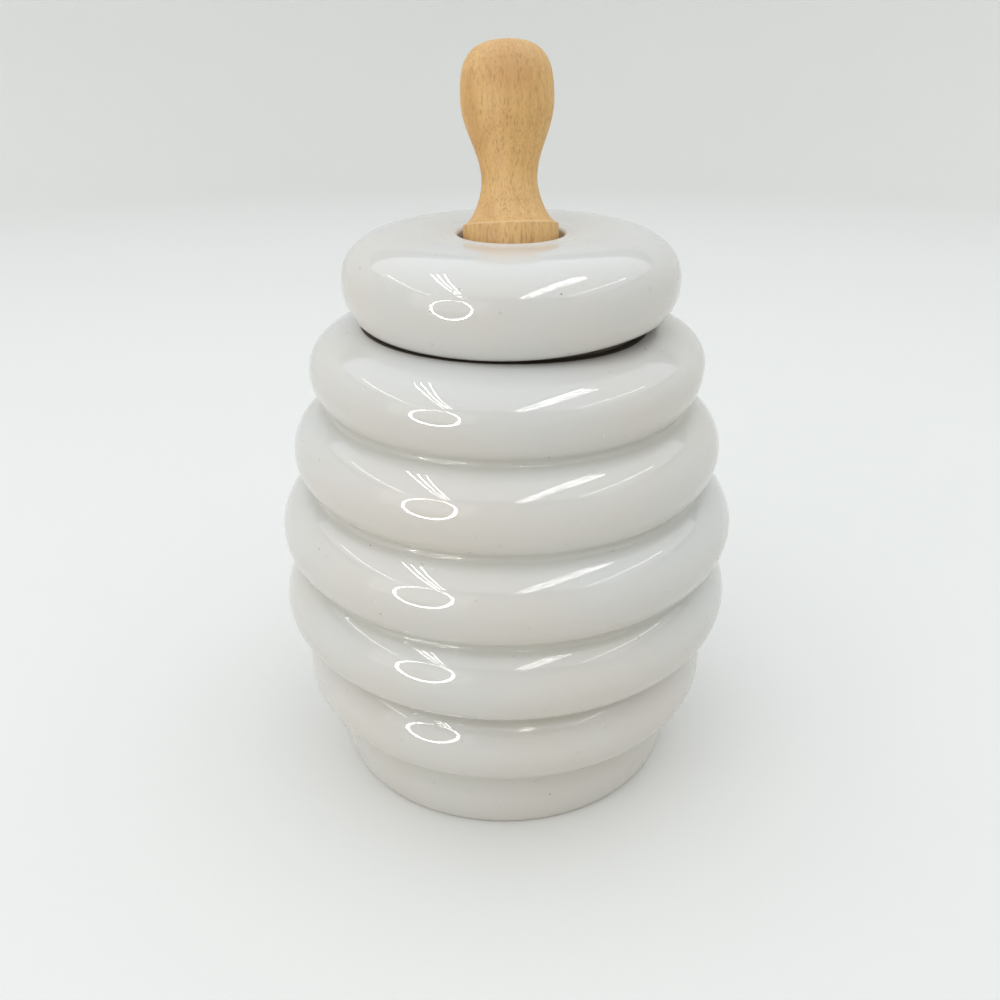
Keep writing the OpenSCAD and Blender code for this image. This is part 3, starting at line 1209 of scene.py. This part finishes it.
    def turned(self) -> tuple[Turned, dict[str, np.ndarray]]:
        """Whole profile, from the lower edge over the top and through the hollow.

        Returns:
            The turned surface, and the values of each row by name: how near it is to
            the seat, for pooled glaze and painted shade, 1 where the clay is bare, 1 where it
            is darkened as painted shade of the gap over the rim, and how near it is to the
            hole's upper round, where it is worn.
        """
        outer, inner = self.outer(), self.inner()
        wide, fine = self.seat_edge
        seat = np.array(
            (
                (self.flange_r, self.seat_z - wide),
                (self.flange_r + wide, self.seat_z),
                (self.seat_out - fine, self.seat_z),
                (self.seat_out, self.seat_z + fine),
                (self.seat_out, self.edge_z),
            )
        )
        profile = np.vstack((outer, inner, seat))
        row, (r, z) = np.arange(len(profile)), profile.T
        on_seat = row >= len(profile) - len(seat)
        at_hole = (row >= len(outer) - self.hole_n) & (row < len(outer))
        free = np.zeros(len(profile))
        edge = self.hole + self.hole_round
        free[: len(outer)] = np.clip((outer[:, 0] - edge) / self.fade, 0.0, 1.0)
        flange_side = (r > self.flange_r - self.bare_in) & (z <= self.seat_z)
        under = (r >= self.flange_r) & (r < self.seat_out + self.bare_out)
        under &= z < self.edge_z + self.bare_up
        values = {
            # Seat value for pooled glaze and painted shade.
            "pool_and_shade": nearness(profile, on_seat, self.pool_and_shade_reach),
            "bare": (flange_side | under) * 1.0,
            # Painted shade on the lid's bare lower edge, over the gap to the rim.
            "gap_shade": (under & (r > self.seat_out - self.gap_shade_w)) * 1.0,
            "worn": nearness(profile, at_hole, self.worn_reach),
        }
        return Turned(profile, self.steps, True, self.wobble, free), values

    def build(self) -> bpy.types.Object:
        """Makes the lid, rides it on its body and hides the plain one.

        Returns:
            The piece.
        """
        turned, values = self.turned()
        points = self.lift(turned.points()) + (self.shift, 0.0, 0.0)
        piece = turned.piece("lid_glazed_shell", points, values)
        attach(piece, Body.LID.value)
        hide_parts("lid")
        return piece

    def dress(self, piece: bpy.types.Object) -> None:
        """Gives the lid its glaze."""
        piece.data.materials.append(self.glaze.make("lid_white_glaze"))


@dataclass(frozen=True)
class Dipper:
    """Turned beech dipper that leans in the lid's hole, in millimetres and degrees.

    Attributes:
        lean_back: lean of the axis towards the back, +Y.
        lean_side: lean of the axis to the left, -X.
        pivot: point of the axis in the frame.
        pivot_h: height of the same point in the dipper's own frame.
        head_h: height of the grooved head.
        head_r: radius of the head where it is widest.
        head_end: radius of the head at its ends.
        grooves: number of grooves.
        groove_w: width of a groove.
        core: radius in the bottom of a groove.
        stem: radius of the stem.
        collar: radius of the collar.
        collar_low: height of the collar's lower end.
        collar_top: height of its upper end.
        bevel_w: width of the broken edge round its upper end.
        bevel_h: height of this edge.
        bevel_power: fullness of this edge.
        neck: radius of the neck where it is thinnest.
        neck_h: height of this place.
        flare_h: height of the flare from the collar to the neck.
        flare_power: fullness of the flare.
        knob: radius of the knob.
        knob_h: height where the knob is widest.
        top_h: height of the knob above this place.
        top_power: fullness of the knob's top.
        edge: radius of the other broken edges.
        edge_turn: angle by which the discs' edges stop short of their sides.
        corner_highlight_reach: how far from the collar's corner the painted highlight reaches.
        near: distance within which two measures count as equal.
        disc_n: points on the side of a disc, and on each of its edges.
        collar_n: points on the collar's lower edge, and on its upper one.
        flare_n: points on the flare.
        rise_n: points from the neck to the knob.
        dome_n: points on the knob's top.
        steps: points in a full turn.
        wood: finish.
    """

    lean_back: float = 13.5044
    lean_side: float = 1.5
    pivot: Sizes = (1.3, 0.0, 118.25)
    pivot_h: float = 113.305
    head_h: float = 32.0
    head_r: float = 9.6
    head_end: float = 5.6
    grooves: int = 6
    groove_w: float = 2.0
    core: float = 4.6
    stem: float = 4.0
    collar: float = 9.7
    collar_low: float = 107.12
    collar_top: float = 117.12
    bevel_w: float = 0.25
    bevel_h: float = 0.3
    bevel_power: float = 2.0
    neck: float = 5.6
    neck_h: float = 125.52
    flare_h: float = 8.4
    flare_power: float = 1.57
    knob: float = 9.3
    knob_h: float = 140.82
    top_h: float = 10.69
    top_power: float = 3.0
    edge: float = 0.5
    edge_turn: float = 5.0
    corner_highlight_reach: float = 0.30
    near: float = 0.02
    disc_n: int = 5
    collar_n: tuple[int, int] = (7, 9)
    flare_n: int = 26
    rise_n: int = 40
    dome_n: int = 56
    steps: int = 144
    wood: Beech = Beech()

    def head(self) -> np.ndarray:
        """Grooved head: discs with broken edges, whose sides follow half an ellipse.

        At height z a side's radius is head_end + (head_r - head_end) sqrt(1 - u^2), with
        u = 2 z / head_h - 1.

        Returns:
            Rows of (radius, height), from the axis at the bottom to the core at the top.
        """
        e, turn, count = self.edge, self.edge_turn, self.disc_n
        disc = (self.head_h - self.grooves * self.groove_w) / (self.grooves + 1)
        runs = []
        for i in range(self.grooves + 1):
            low = i * (disc + self.groove_w)
            levels = np.linspace(low, low + disc, count)
            u = 2 * levels / self.head_h - 1
            out = self.head_end + (self.head_r - self.head_end) * np.sqrt((1 - u * u).clip(0))
            start = 0.0 if i == 0 else self.core
            runs.append(((start, low),))
            runs.append(arc((out[0] - e, low + e), e, -90.0, -turn, count))
            runs.append(np.column_stack((out, levels))[1:-1])
            runs.append(arc((out[-1] - e, low + disc - e), e, turn, 90.0, count))
            runs.append(((self.core, low + disc),))
        return np.vstack(runs)

    def upper(self) -> np.ndarray:
        """Stem, collar, flare, neck and knob, up to the axis.

        From the neck to the knob the radius grows by (1 - cos(180 k)) / 2 of the
        difference, with k the share of the height.

        Returns:
            Rows of (radius, height).
        """
        e, corner = self.edge, self.collar - self.bevel_w
        width = corner - self.neck
        low_n, top_n = self.collar_n
        bevel = ((corner, self.collar_top - self.bevel_h), self.bevel_w, self.bevel_h)
        flare = ((corner, self.neck_h), -width, -self.flare_h)
        k = np.linspace(0.0, 1.0, self.rise_n)[1:]
        grown = (self.knob - self.neck) * (1 - np.cos(math.pi * k)) / 2
        climb = (self.knob_h - self.neck_h) * k
        dome = ((0.0, self.knob_h), self.knob, self.top_h)
        return np.vstack(
            (
                ((self.stem, self.head_h), (self.stem, self.collar_low)),
                arc((self.collar - e, self.collar_low + e), e, -90.0, 0.0, low_n),
                swell(*bevel, self.bevel_power, top_n),
                swell(*flare, self.flare_power, self.flare_n)[-2::-1],
                np.column_stack((self.neck + grown, self.neck_h + climb)),
                swell(*dome, self.top_power, self.dome_n)[1:],
            )
        )

    def build(self) -> bpy.types.Object:
        """Makes the dipper in its own frame, leans it, and rides it on its body.

        A point p of the dipper's own frame goes to pivot + R (p - (0, 0, pivot_h)),
        where R turns it by the two leans. The unturned point is kept for the grain.

        Returns:
            The piece.
        """
        profile = np.vstack((self.head(), self.upper()))
        turned = Turned(profile, self.steps, False, Wobble(0.0), np.zeros(len(profile)))
        own = turned.points()
        lean = Euler((math.radians(-self.lean_back), math.radians(-self.lean_side), 0.0))
        matrix = np.array(lean.to_matrix())
        points = (own - (0.0, 0.0, self.pivot_h)) @ matrix.T + self.pivot
        heights = profile[:, 1]
        inside = (heights > self.collar_low) & (heights < self.collar_top)
        corner = np.abs(heights - self.collar_top) < self.near
        # Where the painted highlight lies along the collar's corner.
        edge = nearness(profile, corner, self.corner_highlight_reach)
        values = {"band": inside * 1.0, "edge": edge}
        piece = turned.piece("dipper_turned_wood", points, values)
        add_values(piece, "grain", own * MM)
        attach(piece, Body.DIPPER.value)
        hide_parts("dipper")
        return piece

    def dress(self, piece: bpy.types.Object) -> None:
        """Gives the dipper its wood."""
        piece.data.materials.append(self.wood.make("dipper_beech"))


# Studio


@dataclass(frozen=True)
class FlatLamp:
    """A flat lamp over the pot or beside it, out of the camera's sight.

    Attributes:
        name: name of the lamp.
        middle: its middle, in metres.
        size: width and length in metres.
        bright: radiance of its face.
        tint: colour.
        turn: turn about Z from the Y axis, in degrees, for a lamp that shines down.
        target: point that it faces, in metres, or None where it shines down.
        lights: False where it shows in reflections alone.
    """

    name: str
    middle: Sizes
    size: Pair
    bright: float
    tint: Colour
    turn: float = 0.0
    target: Sizes | None = None
    lights: bool = True

    def hang(self) -> None:
        """Puts the lamp into the scene. Its power is pi x area x radiance."""
        data = bpy.data.lights.new(self.name, "AREA")
        data.shape = "RECTANGLE"
        data.size, data.size_y = self.size
        data.energy = math.pi * self.size[0] * self.size[1] * self.bright
        data.color = self.tint
        lamp = bpy.data.objects.new(self.name, data)
        lamp.location = self.middle
        lamp.rotation_euler = (0.0, 0.0, math.radians(self.turn))
        if self.target is not None:
            away = Vector(self.middle) - Vector(self.target)
            lamp.rotation_euler = away.to_track_quat("Z", "Y").to_euler()
        lamp.visible_camera = False
        lamp.visible_diffuse = self.lights
        bpy.context.scene.collection.objects.link(lamp)


@dataclass(frozen=True)
class RingLamp:
    """An upright oval ring of light that faces the pot and shows in reflections alone.

    Attributes:
        middle: its middle, in metres.
        target: point that it faces, in metres.
        reach: half its width and half its height in metres.
        band: width of the glowing band at its sides, in metres.
        rise: how much higher the middle of the inner edge is, which makes the band
            broad at the bottom and fine at the top.
        bright: radiance of the band.
        tint: colour.
        steps: points round each edge.
    """

    middle: Sizes = (-0.214, -0.286, 0.138)
    target: Sizes = (-0.014, -0.043, 0.080)
    reach: Pair = (0.089, 0.132)
    band: float = 0.011
    rise: float = 0.007
    bright: float = 30.0
    tint: Colour = (1.0, 0.985, 0.955)
    steps: int = 96

    def hang(self) -> None:
        """Puts the ring into the scene, out of the camera's sight.

        Point t of either edge is middle + (w cos t) side + (h sin t + r) up, where w and
        h are half the width and height, less the band at the inner edge, and r is the
        inner edge's rise.
        """
        t = turn_angles(self.steps)[:, None]
        facing = np.array(self.target) - np.array(self.middle)
        facing /= np.linalg.norm(facing)
        side = np.cross(facing, (0.0, 0.0, 1.0))
        side /= np.linalg.norm(side)
        up = np.cross(side, facing)
        edges = []
        for trim, rise in ((0.0, 0.0), (self.band, self.rise)):
            w, h = self.reach[0] - trim, self.reach[1] - trim
            edges.append(w * np.cos(t) * side + (h * np.sin(t) + rise) * up)
        points = np.vstack(edges) + self.middle
        ring = make_piece("ring_lamp", points, bands(2, self.steps)[:, ::-1])
        s = Shader("ring_lamp_glow")
        s.give(s.skin, "Base Color", (0.0, 0.0, 0.0, 1.0))
        s.give(s.skin, "Emission Color", (*self.tint, 1.0))
        s.give(s.skin, "Emission Strength", self.bright)
        ring.data.materials.append(s.material)
        ring.visible_camera = False
        ring.visible_shadow = False
        ring.visible_diffuse = False


OVER_POT = ((0.0, 0.02, 0.87), (2.4, 1.8))
DAYLIGHT: Colour = (0.95, 0.985, 1.0)


@dataclass(frozen=True)
class Studio:
    """Pale floor that sweeps up into a wall all round, soft lamps and the camera.

    Attributes:
        tone: colour of floor and wall where they are seen, directly or in a gloss.
        cloudy: share of the tone that is left in the paint's faint clouds.
        clouds: waves in a metre of these clouds.
        matt: roughness of the paint.
        shine: strength of its gloss.
        bounce: colour of the light that floor and wall throw back on the pot.
        sky: colour of the light from above.
        glow: strength of the light from above.
        flat: radius in metres where the floor starts to bend up.
        flat_rows: radii of the floor's points up to there.
        bend: radius of the bend in metres.
        wall_top: height of the wall in metres.
        floor_n: points in a full turn of the floor, and points on the bend.
        lamp_z: height of the strips in metres.
        rows: name, X and Y of the middle, and turn about Z of each row of three strips.
        row_step: distance from strip to strip in a row.
        row_size: width and length of a row's strip.
        row_bright: radiance of a row's strip.
        far: name, X and Y of the middle, and turn of each strip far out at the sides.
        far_size: width and length of a far strip.
        far_bright: radiance of a far strip.
        strip_tint: colour of the strips.
        panels: the wide soft lamps. The first two are one panel over the pot, which is
            brighter in reflections, and the third is a dim warm one before it.
        eye: place of the camera in metres.
        pitch: how far the camera looks down, in degrees.
        roll: turn of the camera about its own line of sight, in degrees.
        lens: focal length in millimetres.
        sensor: width of the sensor in millimetres.
        shift: sideways shift of the lens.
        near: distance in metres from which the camera sees.
    """

    tone: Colour = (0.900, 0.900, 0.890)
    cloudy: float = 0.985
    clouds: float = 9.0
    matt: float = 0.8
    shine: float = 0.2
    bounce: Colour = (0.700, 0.668, 0.610)
    sky: Colour = (0.91, 0.97, 1.0)
    glow: float = 0.30
    flat: float = 0.85
    flat_rows: Sizes = (0.2, 0.5)
    bend: float = 0.45
    wall_top: float = 0.75
    floor_n: tuple[int, int] = (120, 24)
    lamp_z: float = 0.85
    rows: tuple[Row, ...] = (("left", -0.476, -0.356, -13.4), ("right", 0.257, -0.442, -14.9))
    row_step: float = 0.045
    row_size: Pair = (0.007, 1.05)
    row_bright: float = 40.0
    far: tuple[Row, ...] = (("far_left", -1.0, -0.14, -7.2), ("far_right", 0.796, -0.293, -12.4))
    far_size: Pair = (0.04, 1.0)
    far_bright: float = 6.0
    strip_tint: Colour = (1.0, 0.99, 0.97)
    panels: tuple[FlatLamp, ...] = (
        FlatLamp("ceiling_panel", *OVER_POT, 0.95, DAYLIGHT),
        FlatLamp("ceiling_sheen", *OVER_POT, 1.30, DAYLIGHT, lights=False),
        FlatLamp(
            "front_panel",
            (-0.55, -0.62, 0.34),
            (0.8, 0.5),
            0.90,
            (1.0, 0.93, 0.85),
            target=(0.0, 0.0, 0.08),
        ),
    )
    eye: Sizes = (0.0, -0.20780, 0.16101)
    pitch: float = 25.87
    roll: float = -0.21067
    lens: float = 36.431
    sensor: float = 36.0
    shift: float = -0.00568
    near: float = 0.005

    def sweep(self) -> None:
        """Lays the floor, which bends up into a round wall."""
        steps, bend_n = self.floor_n
        profile = np.vstack(
            (
                [(radius, 0.0) for radius in self.flat_rows],
                arc((self.flat, self.bend), self.bend, -90.0, 0.0, bend_n),
                ((self.flat + self.bend, self.wall_top),),
            )
        )
        grid = revolved(profile[:, :1], profile[:, 1:], steps)
        points = np.vstack((grid, ((0.0, 0.0, 0.0),)))
        quads = bands(len(profile), steps)[:, ::-1]
        floor = make_piece("floor_sweep", points, quads, fan(0, len(grid), steps))
        floor.data.materials.append(self.paint())

    def paint(self) -> bpy.types.Material:
        """Makes the floor's paint.

        Seen directly or in a gloss it has the tone, with faint clouds, and for the light
        that it throws back it has the bounce colour.

        Returns:
            The material.
        """
        s = Shader("floor_paint")
        faint = s.noise(s.place(), self.clouds, 4.0)
        low = tuple(self.cloudy * c for c in self.tone)
        path = s.add("LightPath").outputs
        seen = s.maths("ADD", path["Is Camera Ray"], path["Is Glossy Ray"])
        seen = s.maths("ADD", seen, path["Is Transmission Ray"], clamp=True)
        paint = s.blend(faint, low, self.tone)
        s.give(s.skin, "Base Color", s.blend(seen, self.bounce, paint))
        s.give(s.skin, "Roughness", self.matt)
        s.give(s.skin, "Specular IOR Level", self.shine)
        return s.material

    def air(self) -> None:
        """Lights the scene evenly from above the wall."""
        world = bpy.data.worlds.new("studio_air")
        bpy.context.scene.world = world
        world.use_nodes = True
        back = world.node_tree.nodes["Background"]
        back.inputs["Color"].default_value = (*self.sky, 1.0)
        back.inputs["Strength"].default_value = self.glow

    def lamps(self) -> None:
        """Hangs the strips, which show in reflections alone, the ring and the panels."""
        for name, x, y, turn in self.rows:
            for i in range(3):
                self.strip(f"{name}_{i}", x + self.row_step * (i - 1), y, turn, True)
        for name, x, y, turn in self.far:
            self.strip(name, x, y, turn, False)
        RingLamp().hang()
        for panel in self.panels:
            panel.hang()

    def strip(self, name: str, x: float, y: float, turn: float, in_row: bool) -> None:
        """Hangs one strip.

        Args:
            name: name of the strip, without its prefix.
            x: X of its middle in metres.
            y: Y of its middle in metres.
            turn: turn about Z in degrees.
            in_row: True for a thin bright strip of a row, False for a far one.
        """
        size = self.row_size if in_row else self.far_size
        bright = self.row_bright if in_row else self.far_bright
        middle = (x, y, self.lamp_z)
        lamp = FlatLamp(f"strip_{name}", middle, size, bright, self.strip_tint, turn, None, False)
        lamp.hang()

    def camera(self) -> None:
        """Puts the camera where the photograph was taken."""
        data = bpy.data.cameras.new("camera")
        data.lens = self.lens
        data.sensor_width = self.sensor
        data.shift_x = self.shift
        data.clip_start = self.near
        eye = bpy.data.objects.new("camera", data)
        tip = Matrix.Rotation(math.radians(90.0 - self.pitch), 4, "X")
        spin = Matrix.Rotation(math.radians(self.roll), 4, "Z")
        eye.matrix_world = Matrix.Translation(self.eye) @ tip @ spin
        bpy.context.scene.collection.objects.link(eye)
        bpy.context.scene.camera = eye

    def build(self) -> None:
        """Builds floor, light and camera."""
        self.sweep()
        self.air()
        self.lamps()
        self.camera()
        bpy.context.scene.view_settings.view_transform = "Standard"


def main() -> None:
    """Builds the studio and the three pieces, and notes the sizes."""
    logging.basicConfig(level=logging.INFO)
    Studio().build()
    for part in (Pot(), Lid(), Dipper()):
        piece = part.build()
        part.dress(piece)
        log.info("%s: %d faces", piece.name, len(piece.data.polygons))


if __name__ == "__main__":
    main()
